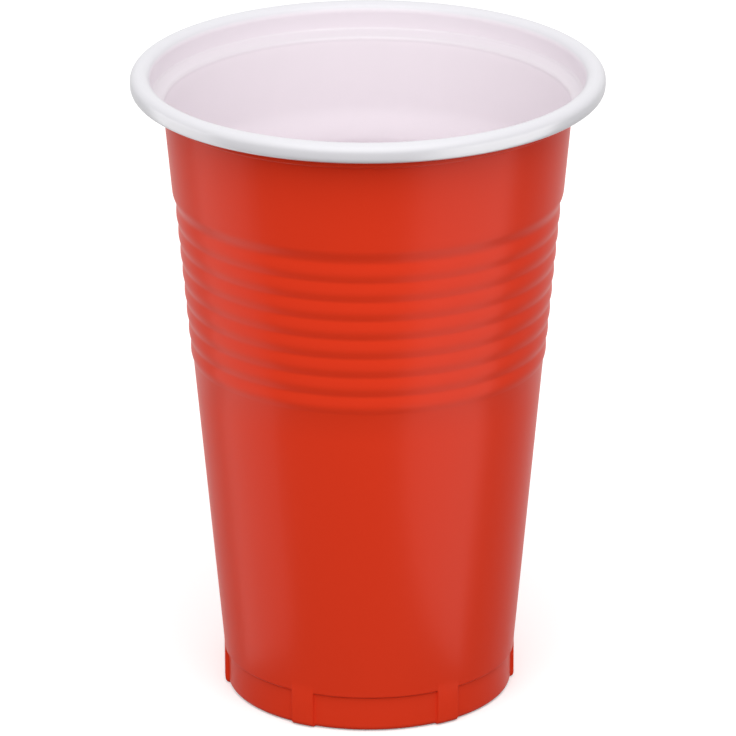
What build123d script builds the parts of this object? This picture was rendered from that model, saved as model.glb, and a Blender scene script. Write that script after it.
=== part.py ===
"""A party cup: one thin moulded shell with a rolled rim, a rib band and a lugged foot."""

import os
from math import cos, radians, sin

from build123d import *

# Sizes of the whole cup, in millimetres.
cup_height = 97.0
rim_radius = 35.15
sheet = 0.25

# The wall is a cone. This is its radius carried down to the table.
base_radius = 21.4

# The rolled rim in flats, the upright neck that carries it and the sloping step under the neck.
roll_radius = 1.5
roll_turn = 270
roll_flat_turn = 45
curl_flat_turn = 135
neck_height = 2.7
step_rise = 0.7
step_width = 2.06

# The plain upper band stands out from the wall's cone, and so do the ribs under it.
band_height = 13.95
band_stand = 0.47
rib_stand = 0.24
rib_depth = 0.17
rib_count = 8
rib_pitch = 3.04

# The foot: recessed panels under a small ledge, with a rounded edge, a standing ring and a raised floor.
panel_height = 5.6
ledge_width = 0.42
ledge_drop = 0.3
foot_round = 0.8
foot_flat_turn = 45
foot_wall = 1.2

# Upright lugs bridge the recessed panels and run into the wall at this height.
lug_count = 6
lug_height = 6.5
lug_arc = 9.5

# The neck and the roll at the top of the wall.
roll_centre = (rim_radius - roll_radius, cup_height - roll_radius)
curl_radius = roll_radius - sheet
neck_radius = roll_centre[0] - curl_radius
neck_bottom = roll_centre[1] - neck_height
step_bottom = neck_bottom - step_rise
band_radius = neck_radius - step_width
taper_share = (band_radius - band_stand - base_radius) / step_bottom


def wall_radius(height):
    """Radius of the wall's cone at a height above the table."""
    return base_radius + taper_share * height


def round_line(centre, radius, start, turn, flat_turn):
    """Corners of a rounding drawn in flats, from a start angle through a turn, in degrees."""
    flats = round(abs(turn) / flat_turn)
    line = []
    for corner in range(flats + 1):
        angle = radians(start + turn * corner / flats)
        line.append((centre[0] + radius * cos(angle), centre[1] + radius * sin(angle)))
    return line


roll_line = round_line(roll_centre, roll_radius, 180, -roll_turn, roll_flat_turn)
curl_line = round_line(roll_centre, curl_radius, 180, -roll_turn, curl_flat_turn)

# The rib band, from the bottom up: each rib has an outward flank and an inward flank.
flank = rib_pitch / 2
rib_top = step_bottom - band_height
rib_bottom = rib_top - (2 * rib_count + 1) * flank
rib_line = [(wall_radius(rib_bottom), rib_bottom)]
for rib in range(rib_count):
    peak = rib_bottom + (2 * rib + 1) * flank
    valley = peak + flank
    rib_line.append((wall_radius(peak) + rib_stand, peak))
    rib_line.append((wall_radius(valley) + rib_stand - rib_depth, valley))
rib_line.append((wall_radius(rib_top) + band_stand, rib_top))

# The foot under the wall.
ledge_height = panel_height - ledge_drop
panel_radius = wall_radius(panel_height) - ledge_width
foot_centre = (panel_radius - foot_round, foot_round)
foot_line = round_line(foot_centre, foot_round, -90, 90, foot_flat_turn)
lug_radius = wall_radius(lug_height)
lug_centre = (lug_radius - foot_round, foot_round)
lug_line = round_line(lug_centre, foot_round, -90, 90, foot_flat_turn)
lug_top = lug_height + sheet

# The outer side of the sheet, from the middle of the floor's underside out and up to the end of the curl.
outer_side = [
    (0, panel_height),
    (panel_radius - foot_wall, panel_height),
    (panel_radius - foot_wall, 0),
    *foot_line,
    (panel_radius, ledge_height),
    (wall_radius(panel_height), panel_height),
    *rib_line,
    (band_radius, step_bottom),
    (neck_radius, neck_bottom),
    *curl_line,
]

# The inner side, from the end of the roll back down to the middle of the floor. It is plain behind the ribs.
floor_top = panel_height + sheet
inner_side = [
    *reversed(roll_line),
    (neck_radius - sheet, neck_bottom + sheet),
    (band_radius - sheet, step_bottom + sheet),
    (rib_line[-1][0] - sheet, rib_line[-1][1]),
    (rib_line[-2][0] - sheet, rib_line[-2][1]),
    (wall_radius(floor_top) - sheet, floor_top),
    (0, floor_top),
]

with BuildPart() as cup:
    with BuildSketch(Plane.XZ) as section:
        with BuildLine() as section_outline:
            Polyline(*outer_side, *inner_side, close=True)
        make_face()
    revolve(axis=Axis.Z)

    # One lug, from inside the foot out to the lug's face, with the foot's own rounding at the table.
    with BuildPart(mode=Mode.PRIVATE) as lug:
        with BuildSketch(Plane.XZ) as lug_section:
            with BuildLine() as lug_outline:
                Polyline(
                    foot_line[0],
                    *lug_line,
                    (lug_radius, lug_top),
                    (lug_radius - sheet / 2, lug_top),
                    (wall_radius(panel_height) - sheet / 2, panel_height),
                    (panel_radius - sheet / 2, ledge_height),
                    (panel_radius - sheet / 2, foot_round),
                    close=True,
                )
            make_face()
        revolve(axis=Axis.Z, revolution_arc=lug_arc)
    with PolarLocations(0, lug_count, start_angle=-lug_arc / 2):
        add(lug.part)

cup.part.label = "cup"
os.makedirs("parts", exist_ok=True)
export_step(cup.part, "parts/cup.step")
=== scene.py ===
"""Looks for the party cup: a red and white plastic shell on a pale floor, under soft studio light."""

import math

import bpy
from mathutils import Matrix, Vector


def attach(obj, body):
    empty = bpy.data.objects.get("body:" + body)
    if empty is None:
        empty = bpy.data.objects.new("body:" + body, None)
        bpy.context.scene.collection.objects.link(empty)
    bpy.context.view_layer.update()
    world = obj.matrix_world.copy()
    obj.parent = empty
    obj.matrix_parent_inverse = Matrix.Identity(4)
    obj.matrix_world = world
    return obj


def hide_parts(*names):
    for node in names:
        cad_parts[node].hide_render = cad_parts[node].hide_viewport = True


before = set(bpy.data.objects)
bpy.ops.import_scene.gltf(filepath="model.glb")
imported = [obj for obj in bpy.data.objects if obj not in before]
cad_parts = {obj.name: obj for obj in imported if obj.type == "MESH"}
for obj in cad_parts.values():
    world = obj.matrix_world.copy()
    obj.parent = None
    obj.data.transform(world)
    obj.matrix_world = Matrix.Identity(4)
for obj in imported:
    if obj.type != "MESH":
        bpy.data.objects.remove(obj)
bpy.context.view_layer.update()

MM = 0.001
TINY = 1e-9
PURE_WHITE = (1, 1, 1, 1)

# The cup's sizes in millimetres. They are those of its CAD solid, apart from ribs that are a little deeper.
CUP_HEIGHT = 97.0
RIM_RADIUS = 35.15
SHEET = 0.25
BASE_RADIUS = 21.4
ROLL_RADIUS = 1.5
NECK_HEIGHT = 2.7
STEP_RISE = 0.7
STEP_WIDTH = 2.06
BAND_HEIGHT = 13.95
BAND_STAND = 0.47
RIB_STAND = 0.24
RIB_DEPTH = 0.21
RIB_COUNT = 8
RIB_PITCH = 3.04
PANEL_HEIGHT = 5.6
LEDGE_WIDTH = 0.42
LEDGE_DROP = 0.3
FOOT_ROUND = 0.8
FOOT_WALL = 1.2
LUG_COUNT = 6
LUG_HEIGHT = 6.5
LUG_ARC = 9.5

ROLL_R = RIM_RADIUS - ROLL_RADIUS
ROLL_Z = CUP_HEIGHT - ROLL_RADIUS
CURL_RADIUS = ROLL_RADIUS - SHEET
NECK_R = ROLL_R - CURL_RADIUS
NECK_Z = ROLL_Z - NECK_HEIGHT
STEP_Z = NECK_Z - STEP_RISE
BAND_R = NECK_R - STEP_WIDTH
TAPER = (BAND_R - BAND_STAND - BASE_RADIUS) / STEP_Z
RIB_TOP = STEP_Z - BAND_HEIGHT
RIB_BOTTOM = RIB_TOP - (RIB_COUNT + 0.5) * RIB_PITCH

# How far the roll turns, in degrees, how square its outer side is, 2 for a circle, how far it reaches down from
# its middle and how far its top slopes down towards the outer side.
ROLL_TURN = 270
ROLL_SQUARE = 3.2
ROLL_DROP = 1.38
ROLL_SLOPE = 0.45
ROLL_STEPS = 36
CURL_STEPS = 18

# The wave of the ribs: how much of a pitch faces up, how blunt its crests are and how finely it is drawn.
RIB_UP_SHARE = 0.56
RIB_CREST = 4
RIB_STEPS = 10

# The slope from the topmost groove to the plain band, as a share of the pitch, on each side of the sheet.
OUTER_SLOPE_SHARE = 0.75
INNER_SLOPE_SHARE = 1.75

# Roundings of the red side: under the floor, at the standing ring's inner edge, under the ledge, on the ledge,
# where a lug or the ledge meets the wall, under the step and under the neck.
RECESS_ROUND = 0.45
RING_ROUND = 0.3
LEDGE_ROUND = 0.1
EDGE_ROUND = 0.18
LUG_ROUND = 0.65
RED_STEP_ROUND = 0.4
RED_NECK_ROUND = 0.3

# Roundings of the white side: at the foot of the neck, on the step and around the floor.
WHITE_NECK_ROUND = 0.6
WHITE_STEP_ROUND = 0.75
FLOOR_ROUND = 0.7

# How finely corners, the plain wall and the plain band are drawn, and where the floor has a ring of points.
CORNER_STEPS = 5
WALL_STEPS = 10
BAND_STEPS = 7
FLOOR_SHARE = 0.5

# Half the angle of a corner, in radians, from which its rounding reaches as far as its radius.
NEAR_STRAIGHT = 1.5

# Columns of the mesh about a lug: shares of half its width, then degrees inside, across and outside its edge,
# then steps to the middle of the panel beside it.
LUG_SHARES = (0, 0.4, 0.75)
EDGE_INSET = 0.45
EDGE_HALF = 0.24
EDGE_STEPS = 4
EDGE_OUTSET = 0.5
PANEL_STEPS = 9

# Gloss of the two layers: the specular level and the range of the roughness.
RED_GLOSS = (0.05, (0.3, 0.34))
WHITE_GLOSS = (0.5, (0.285, 0.34))

# Patterns in the plastic, each with its scale, detail and stretch: flow streaks, clouds and orange peel.
FLOW = (90, 3, (1, 1, 0.12))
FLOW_RANGE = (0.3, 0.7)
CLOUD = (34, 2, (1, 1, 0.35))
CLOUD_RANGE = (0.25, 0.75)
PEEL = (420, 2, (1, 1, 1))
PEEL_STRENGTH = 0.12
PEEL_DEPTH = 0.00002

# The red near the foot and high on the wall, each as two colours for the clouds, and the heights between them.
# The red is darker towards the foot as painted shade, for the light falling off down the wall.
RED_PAINTED_SHADE_LOW = ((0.775, 0.044, 0.0135), (0.805, 0.047, 0.0145))
RED_PAINTED_LIGHT_HIGH = ((0.838, 0.045, 0.013), (0.868, 0.048, 0.014))
RED_SHADE_HEIGHTS = (0.01, 0.07)

# The white of the drawn wall as two colours for the clouds, then of the step, the neck and the roll. Each of
# these starts within a short range of height, or of radius for the roll. The step and the roll are darker than
# the wall as painted shade, where the light falls strongest.
WHITE_WALL = ((0.88, 0.81, 0.857), (0.9, 0.83, 0.877))
WHITE_STEP_PAINTED_SHADE = (0.705, 0.651, 0.693)
WHITE_NECK = (0.85, 0.785, 0.834)
WHITE_ROLL_PAINTED_SHADE = (0.715, 0.706, 0.74)
STEP_SHADE_HEIGHTS = (0.0916, 0.0924)
NECK_HEIGHTS = (0.0930, 0.0935)
ROLL_SHADE_RADII = (0.03216, 0.0324)

# The floor: its size, its gap under the cup, how pale it is as a source of light and when it is seen, and how
# far it is lifted to white for the eye and in gloss.
FLOOR_SIZE = 6
FLOOR_GAP = 0.0001
FLOOR_SHADE = 0.25
FLOOR_SEEN = 0.9
FLOOR_LIFT = 0.29
MIRROR_LIFT = 0.17

# The light: the even surround, the large soft box in front and above, and two boxes beside the cup. These have
# a place across for foot and head, a front, a back and a level, where 1 is white.
WORLD_LIGHT = 0.75
KEY_PLACE = Vector((-0.01, -0.54, 0.77))
KEY_AIM = Vector((0, 0, 0.05))
KEY_SIZE = 1.04
KEY_POWER = 5.8
BOX_HEIGHT = 0.1
LEFT_BOX = (-0.031, -0.046, -0.0288, -0.0045, 2.6)
RIGHT_BOX = (0.0275, 0.046, -0.09, -0.0217, 4.1)

# The camera of the photograph: distance and height in metres, the turn about the cup, the downward tilt and
# the roll in degrees, then its lens.
CAMERA_BACK = 0.9845
CAMERA_UP = 0.4206
CAMERA_TURN = -2.7
CAMERA_DOWN = 20.63
CAMERA_ROLL = -0.13
CAMERA_LENS = 343.2
CAMERA_SENSOR = 36
CAMERA_SHIFT = -0.0007
CAMERA_NEAR = 0.01


def wall_radius(z):
    """Radius of the plain cone of the wall at a height."""
    return BASE_RADIUS + TAPER * z


def rib_wave(share):
    """Height of the rib wave, from 0 in a valley to 1 on a peak, at a share of the pitch above a valley."""
    low = 1 - RIB_UP_SHARE
    if share < low:
        turn = share / low
    else:
        turn = (1 - share) / RIB_UP_SHARE
    return (RIB_CREST * turn - turn ** RIB_CREST) / (RIB_CREST - 1)


def corner(before, at, after, radius):
    """Points of a rounded corner of a line, as many for a straight corner as for any other."""
    a = (Vector(before) - Vector(at)).normalized()
    b = (Vector(after) - Vector(at)).normalized()
    half = a.angle(b) / 2
    reach = min(radius / math.tan(half), radius) if half < NEAR_STRAIGHT else radius
    first, last = Vector(at) + a * reach, Vector(at) + b * reach
    points = []
    for i in range(CORNER_STEPS + 1):
        t = i / CORNER_STEPS
        points.append(tuple(first * (1 - t) ** 2 + Vector(at) * (2 * t * (1 - t)) + last * t ** 2))
    return points


def rounded(line, radii):
    """A line with its corners rounded. Radius 0 keeps a corner as one point."""
    points = [line[0]]
    for i in range(1, len(line) - 1):
        if radii[i]:
            points += corner(line[i - 1], line[i], line[i + 1], radii[i])
        else:
            points.append(line[i])
    return points + [line[-1]]


def curl_points():
    """The inside of the roll, from the neck up, over and down to the end of the curl."""
    points = []
    for i in range(CURL_STEPS + 1):
        angle = math.radians(180 - ROLL_TURN * i / CURL_STEPS)
        points.append((ROLL_R + CURL_RADIUS * math.cos(angle), ROLL_Z + CURL_RADIUS * math.sin(angle)))
    return points


def roll_points():
    """The outside of the roll, from the end of the curl up its upright outer side and over to the neck."""
    points = []
    for i in range(ROLL_STEPS + 1):
        angle = math.radians(-90 + ROLL_TURN * i / ROLL_STEPS)
        c, s = math.cos(angle), math.sin(angle)
        power = 2 / ROLL_SQUARE if c > 0 else 1
        across = math.copysign(abs(c) ** power, c)
        up = math.copysign(abs(s) ** power, s)
        rise = ROLL_RADIUS - ROLL_SLOPE * max(across, 0) ** 2 if s > 0 else ROLL_DROP
        points.append((ROLL_R + ROLL_RADIUS * across, ROLL_Z + rise * up))
    return points


def run(start, end, count):
    """Points that divide a straight run, its ends left out."""
    return [
        (start[0] + (end[0] - start[0]) * i / count, start[1] + (end[1] - start[1]) * i / count)
        for i in range(1, count)
    ]


def rib_points(inset, slope_share):
    """The rib band of one side of the sheet, from the bottom up."""
    valley = RIB_STAND - RIB_DEPTH
    points = []
    for i in range(RIB_COUNT * RIB_STEPS + round(slope_share * RIB_STEPS) + 1):
        share = i / RIB_STEPS
        z = RIB_BOTTOM + share * RIB_PITCH
        whole = min(int(share + TINY), RIB_COUNT)
        wave = rib_wave(min(share - whole, 1))
        if whole == 0 and share < 1 - RIB_UP_SHARE:
            stand = RIB_STAND * wave
        elif whole == RIB_COUNT:
            turn = min((share - whole) / slope_share, 1)
            stand = valley + (BAND_STAND - valley) * (0.5 - 0.5 * math.cos(math.pi * turn))
        else:
            stand = valley + RIB_DEPTH * wave
        points.append((wall_radius(z) + stand - inset, z))
    return points


def outer_side(lug):
    """The red side, from the middle of the floor's underside out and up to the end of the curl."""
    panel_r = wall_radius(PANEL_HEIGHT) - LEDGE_WIDTH
    lug_r = wall_radius(LUG_HEIGHT)
    ring_r = panel_r - FOOT_WALL
    face_r = lug_r if lug else panel_r
    edge_r = lug_r if lug else wall_radius(PANEL_HEIGHT)
    foot_line = [
        (0, PANEL_HEIGHT),
        (ring_r * FLOOR_SHARE, PANEL_HEIGHT),
        (ring_r, PANEL_HEIGHT),
        (ring_r, 0),
        (face_r, 0),
        (face_r, PANEL_HEIGHT - LEDGE_DROP),
        (edge_r, PANEL_HEIGHT),
        (lug_r, LUG_HEIGHT),
        (wall_radius(RIB_BOTTOM), RIB_BOTTOM),
    ]
    foot_radii = [0, 0, RECESS_ROUND, RING_ROUND, FOOT_ROUND, LEDGE_ROUND, EDGE_ROUND, LUG_ROUND, 0]
    foot = rounded(foot_line, foot_radii)[:-1]
    ribs = rib_points(0, OUTER_SLOPE_SHARE)
    wall = run(foot[-1], ribs[0], WALL_STEPS)
    top_line = [ribs[-1], (BAND_R, STEP_Z), (NECK_R, NECK_Z), (NECK_R, ROLL_Z)]
    top = rounded(top_line, [0, RED_STEP_ROUND, RED_NECK_ROUND, 0])
    band = run(top[0], top[1], BAND_STEPS)
    return foot + wall + ribs + band + top[1:-1] + curl_points()


def inner_side():
    """The white side, from the end of the curl over the roll and down to the middle of the floor."""
    ribs = rib_points(SHEET, INNER_SLOPE_SHARE)
    neck_line = [
        (NECK_R - SHEET, ROLL_Z),
        (NECK_R - SHEET, NECK_Z + SHEET),
        (BAND_R - SHEET, STEP_Z + SHEET),
        ribs[-1],
    ]
    neck = rounded(neck_line, [0, WHITE_NECK_ROUND, WHITE_STEP_ROUND, 0])
    band = run(neck[-2], neck[-1], BAND_STEPS)
    floor_z = PANEL_HEIGHT + SHEET
    foot_line = [
        ribs[0],
        (wall_radius(floor_z) - SHEET, floor_z),
        (wall_radius(floor_z) * FLOOR_SHARE, floor_z),
        (0, floor_z),
    ]
    foot = rounded(foot_line, [0, FLOOR_ROUND, 0, 0])
    wall = run(ribs[0], foot[1], WALL_STEPS)
    return roll_points() + neck[1:-1] + band + list(reversed(ribs)) + wall + foot[1:]


def columns():
    """Angles of the mesh's columns in degrees, close at lug edges, each with how far it belongs to a lug."""
    edge = LUG_ARC / 2
    near, far = edge + EDGE_OUTSET, 180 / LUG_COUNT
    half = [edge * share for share in LUG_SHARES] + [edge - EDGE_INSET]
    half += [edge + EDGE_HALF * i / EDGE_STEPS for i in range(-EDGE_STEPS, EDGE_STEPS + 1)]
    half += [near + (far - near) * i / PANEL_STEPS for i in range(PANEL_STEPS + 1)]
    signed = [-a for a in reversed(half[1:-1])] + half
    made = []
    for lug in range(LUG_COUNT):
        middle = lug * 360 / LUG_COUNT
        for a in signed:
            t = min(max((edge + EDGE_HALF - abs(a)) / (2 * EDGE_HALF), 0), 1)
            made.append((middle + a, t * t * (3 - 2 * t)))
    return made


def make_cup():
    """The cup as one closed mesh of revolution, with lugs on its foot."""
    panel, lugged, white = outer_side(False), outer_side(True), inner_side()
    spread = columns()
    verts = []
    for angle, lug in spread:
        c, s = math.cos(math.radians(angle)), math.sin(math.radians(angle))
        line = []
        for (pr, pz), (lr, lz) in zip(panel[1:], lugged[1:]):
            line.append((pr + (lr - pr) * lug, pz + (lz - pz) * lug))
        for r, z in line + white[:-1]:
            verts.append((r * c * MM, r * s * MM, z * MM))
    per = len(verts) // len(spread)
    red_rows = len(panel) - 1
    under, over = len(verts), len(verts) + 1
    verts.append((0, 0, panel[0][1] * MM))
    verts.append((0, 0, white[-1][1] * MM))
    faces, white_faces = [], []
    for i in range(len(spread)):
        a, b = i * per, (i + 1) % len(spread) * per
        faces.append((under, b, a))
        white_faces.append(False)
        for j in range(per - 1):
            faces.append((a + j, b + j, b + j + 1, a + j + 1))
            white_faces.append(j >= red_rows - 1)
        faces.append((over, a + per - 1, b + per - 1))
        white_faces.append(True)
    mesh = bpy.data.meshes.new("party_cup")
    mesh.from_pydata(verts, [], faces)
    mesh.update()
    for face, is_white in zip(mesh.polygons, white_faces):
        face.material_index = 1 if is_white else 0
        face.use_smooth = True
    made = bpy.data.objects.new("party_cup", mesh)
    bpy.context.scene.collection.objects.link(made)
    return made


def node(tree, kind, **values):
    """A new node with some of its properties set."""
    made = tree.nodes.new(kind)
    for name, value in values.items():
        setattr(made, name, value)
    return made


def noise(tree, coords, scale, detail, stretch):
    """The value of a noise in object space."""
    place = node(tree, "ShaderNodeMapping")
    place.inputs["Scale"].default_value = stretch
    tree.links.new(coords, place.inputs["Vector"])
    made = node(tree, "ShaderNodeTexNoise")
    made.inputs["Scale"].default_value = scale
    made.inputs["Detail"].default_value = detail
    tree.links.new(place.outputs["Vector"], made.inputs["Vector"])
    return made.outputs["Fac"]


def ramp(tree, value, low, high, first, last):
    """Maps a value from one range to another, with both ends held."""
    made = node(tree, "ShaderNodeMapRange")
    made.inputs["From Min"].default_value = low
    made.inputs["From Max"].default_value = high
    made.inputs["To Min"].default_value = first
    made.inputs["To Max"].default_value = last
    tree.links.new(value, made.inputs["Value"])
    return made.outputs["Result"]


def blend_colours(tree, share, first, second):
    """A colour between two others. Each is a colour or a socket."""
    made = node(tree, "ShaderNodeMix", data_type="RGBA")
    tree.links.new(share, made.inputs["Factor"])
    for name, value in (("A", first), ("B", second)):
        socket = next(s for s in made.inputs if s.name == name and s.type == "RGBA")
        if isinstance(value, tuple):
            socket.default_value = (*value, 1)
        else:
            tree.links.new(value, socket)
    return next(s for s in made.outputs if s.type == "RGBA")


def split(tree, coords):
    """The parts X, Y and Z of a place."""
    made = node(tree, "ShaderNodeSeparateXYZ")
    tree.links.new(coords, made.inputs["Vector"])
    return made.outputs


def axis_distance(tree, parts):
    """Distance of a place from the cup's axis."""
    flat = node(tree, "ShaderNodeCombineXYZ")
    tree.links.new(parts["X"], flat.inputs["X"])
    tree.links.new(parts["Y"], flat.inputs["Y"])
    length = node(tree, "ShaderNodeVectorMath", operation="LENGTH")
    tree.links.new(flat.outputs["Vector"], length.inputs[0])
    return length.outputs["Value"]


def plastic(name, specular, roughness):
    """A moulded plastic: faint flow streaks in its gloss and a very fine orange-peel bump."""
    material = bpy.data.materials.new(name)
    material.use_nodes = True
    tree = material.node_tree
    shader = tree.nodes["Principled BSDF"]
    shader.inputs["Specular IOR Level"].default_value = specular
    coords = node(tree, "ShaderNodeTexCoord").outputs["Object"]
    flow = noise(tree, coords, *FLOW)
    tree.links.new(ramp(tree, flow, *FLOW_RANGE, *roughness), shader.inputs["Roughness"])
    bump = node(tree, "ShaderNodeBump")
    bump.inputs["Strength"].default_value = PEEL_STRENGTH
    bump.inputs["Distance"].default_value = PEEL_DEPTH
    tree.links.new(noise(tree, coords, *PEEL), bump.inputs["Height"])
    tree.links.new(bump.outputs["Normal"], shader.inputs["Normal"])
    return material, tree, shader, coords


def red_plastic():
    """The red outer layer, darker towards the foot: painted shade for the light falling off down the wall."""
    material, tree, shader, coords = plastic("red_gloss_plastic", *RED_GLOSS)
    cloud = ramp(tree, noise(tree, coords, *CLOUD), *CLOUD_RANGE, 0, 1)
    # Painted shade: the red darkens towards the foot, for the light falling off down the wall.
    painted_light_up_wall = ramp(tree, split(tree, coords)["Z"], *RED_SHADE_HEIGHTS, 0, 1)
    low = blend_colours(tree, cloud, *RED_PAINTED_SHADE_LOW)
    high = blend_colours(tree, cloud, *RED_PAINTED_LIGHT_HIGH)
    colour = blend_colours(tree, painted_light_up_wall, low, high)
    tree.links.new(colour, shader.inputs["Base Color"])
    return material


def white_plastic():
    """The white inner layer: neutral on the roll, faintly pink below it and a little greyer on the step. The
    roll and the step are darker than the wall below as painted shade, where the light falls strongest.
    """
    material, tree, shader, coords = plastic("white_gloss_plastic", *WHITE_GLOSS)
    parts = split(tree, coords)
    # Painted shade: the up-facing step is greyer than the wall, where more light falls on it.
    painted_shade_on_step = ramp(tree, parts["Z"], *STEP_SHADE_HEIGHTS, 0, 1)
    on_neck = ramp(tree, parts["Z"], *NECK_HEIGHTS, 0, 1)
    # Painted shade: the roll is darker than the inner wall, where the light falls strongest.
    painted_shade_on_roll = ramp(tree, axis_distance(tree, parts), *ROLL_SHADE_RADII, 0, 1)
    wall = blend_colours(tree, noise(tree, coords, *CLOUD), *WHITE_WALL)
    below_neck = blend_colours(tree, painted_shade_on_step, wall, WHITE_STEP_PAINTED_SHADE)
    inside = blend_colours(tree, on_neck, below_neck, WHITE_NECK)
    colour = blend_colours(tree, painted_shade_on_roll, inside, WHITE_ROLL_PAINTED_SHADE)
    tree.links.new(colour, shader.inputs["Base Color"])
    return material


def seen_or_mirrored(tree, path):
    """1 for a ray from the camera, a glossy ray or a transmission ray, else 0."""
    first = node(tree, "ShaderNodeMath", operation="MAXIMUM")
    tree.links.new(path.outputs["Is Camera Ray"], first.inputs[0])
    tree.links.new(path.outputs["Is Glossy Ray"], first.inputs[1])
    second = node(tree, "ShaderNodeMath", operation="MAXIMUM")
    tree.links.new(first.outputs["Value"], second.inputs[0])
    tree.links.new(path.outputs["Is Transmission Ray"], second.inputs[1])
    return second.outputs["Value"]


def pale_floor():
    """A plain pale floor that keeps the shadow. It is lifted to white for what is seen straight or in gloss."""
    bpy.ops.mesh.primitive_plane_add(size=FLOOR_SIZE, location=(0, 0, -FLOOR_GAP))
    floor = bpy.context.object
    floor.name = "floor"
    material = bpy.data.materials.new("pale_floor")
    material.use_nodes = True
    material.cycles.emission_sampling = "NONE"
    tree = material.node_tree
    shader = tree.nodes["Principled BSDF"]
    shader.inputs["Specular IOR Level"].default_value = 0
    shader.inputs["Roughness"].default_value = 1
    path = node(tree, "ShaderNodeLightPath")
    seen = seen_or_mirrored(tree, path)
    tree.links.new(ramp(tree, seen, 0, 1, FLOOR_SHADE, FLOOR_SEEN), shader.inputs["Base Color"])
    shader.inputs["Emission Color"].default_value = PURE_WHITE
    lift = node(tree, "ShaderNodeMath", operation="MULTIPLY")
    tree.links.new(seen, lift.inputs[0])
    tree.links.new(ramp(tree, path.outputs["Is Camera Ray"], 0, 1, MIRROR_LIFT, FLOOR_LIFT), lift.inputs[1])
    tree.links.new(lift.outputs["Value"], shader.inputs["Emission Strength"])
    floor.data.materials.append(material)


def world_light():
    """An even pale surround: white to the eye and in gloss, a plain level of light for the object."""
    world = bpy.data.worlds.new("surround")
    bpy.context.scene.world = world
    world.use_nodes = True
    tree = world.node_tree
    background = tree.nodes["Background"]
    background.inputs["Color"].default_value = PURE_WHITE
    seen = seen_or_mirrored(tree, node(tree, "ShaderNodeLightPath"))
    tree.links.new(ramp(tree, seen, 0, 1, WORLD_LIGHT, 1), background.inputs["Strength"])


def soft_box(name, place, facing, width, height, power):
    """A flat soft lamp at a place that faces a direction."""
    data = bpy.data.lights.new(name, "AREA")
    data.shape = "RECTANGLE"
    data.size = width
    data.size_y = height
    data.energy = power
    lamp = bpy.data.objects.new(name, data)
    lamp.location = place
    lamp.rotation_euler = facing.to_track_quat("-Z", "Y").to_euler()
    bpy.context.scene.collection.objects.link(lamp)
    return lamp


def side_box(name, foot, head, front, back, level):
    """A soft box that stands beside the cup, leans out like its wall and shows in its gloss alone."""
    side = math.copysign(1, foot)
    lean = Vector((head - foot, 0, BOX_HEIGHT))
    place = ((foot + head) / 2, (front + back) / 2, BOX_HEIGHT / 2)
    facing = Vector((-lean.z * side, 0, lean.x * side))
    width, height = back - front, lean.length
    box = soft_box(name, place, facing, width, height, level * math.pi * width * height)
    box.visible_camera = False
    box.visible_diffuse = False


def photo_camera():
    """A long lens at the photograph's angle."""
    data = bpy.data.cameras.new("camera")
    data.sensor_width = CAMERA_SENSOR
    data.lens = CAMERA_LENS
    data.clip_start = CAMERA_NEAR
    data.shift_x = CAMERA_SHIFT
    camera = bpy.data.objects.new("camera", data)
    turn = Matrix.Rotation(math.radians(CAMERA_TURN), 4, "Z")
    tilt = Matrix.Rotation(math.radians(90 - CAMERA_DOWN), 4, "X")
    roll = Matrix.Rotation(math.radians(CAMERA_ROLL), 4, "Z")
    camera.matrix_world = turn @ Matrix.Translation((0, -CAMERA_BACK, CAMERA_UP)) @ tilt @ roll
    bpy.context.scene.collection.objects.link(camera)
    bpy.context.scene.camera = camera


cup = make_cup()
cup.data.materials.append(red_plastic())
cup.data.materials.append(white_plastic())
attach(cup, "root")
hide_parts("cup")

pale_floor()
world_light()
soft_box("key", KEY_PLACE, KEY_AIM - KEY_PLACE, KEY_SIZE, KEY_SIZE, KEY_POWER)
side_box("left_box", *LEFT_BOX)
side_box("right_box", *RIGHT_BOX)
photo_camera()
bpy.context.scene.view_settings.view_transform = "Standard"
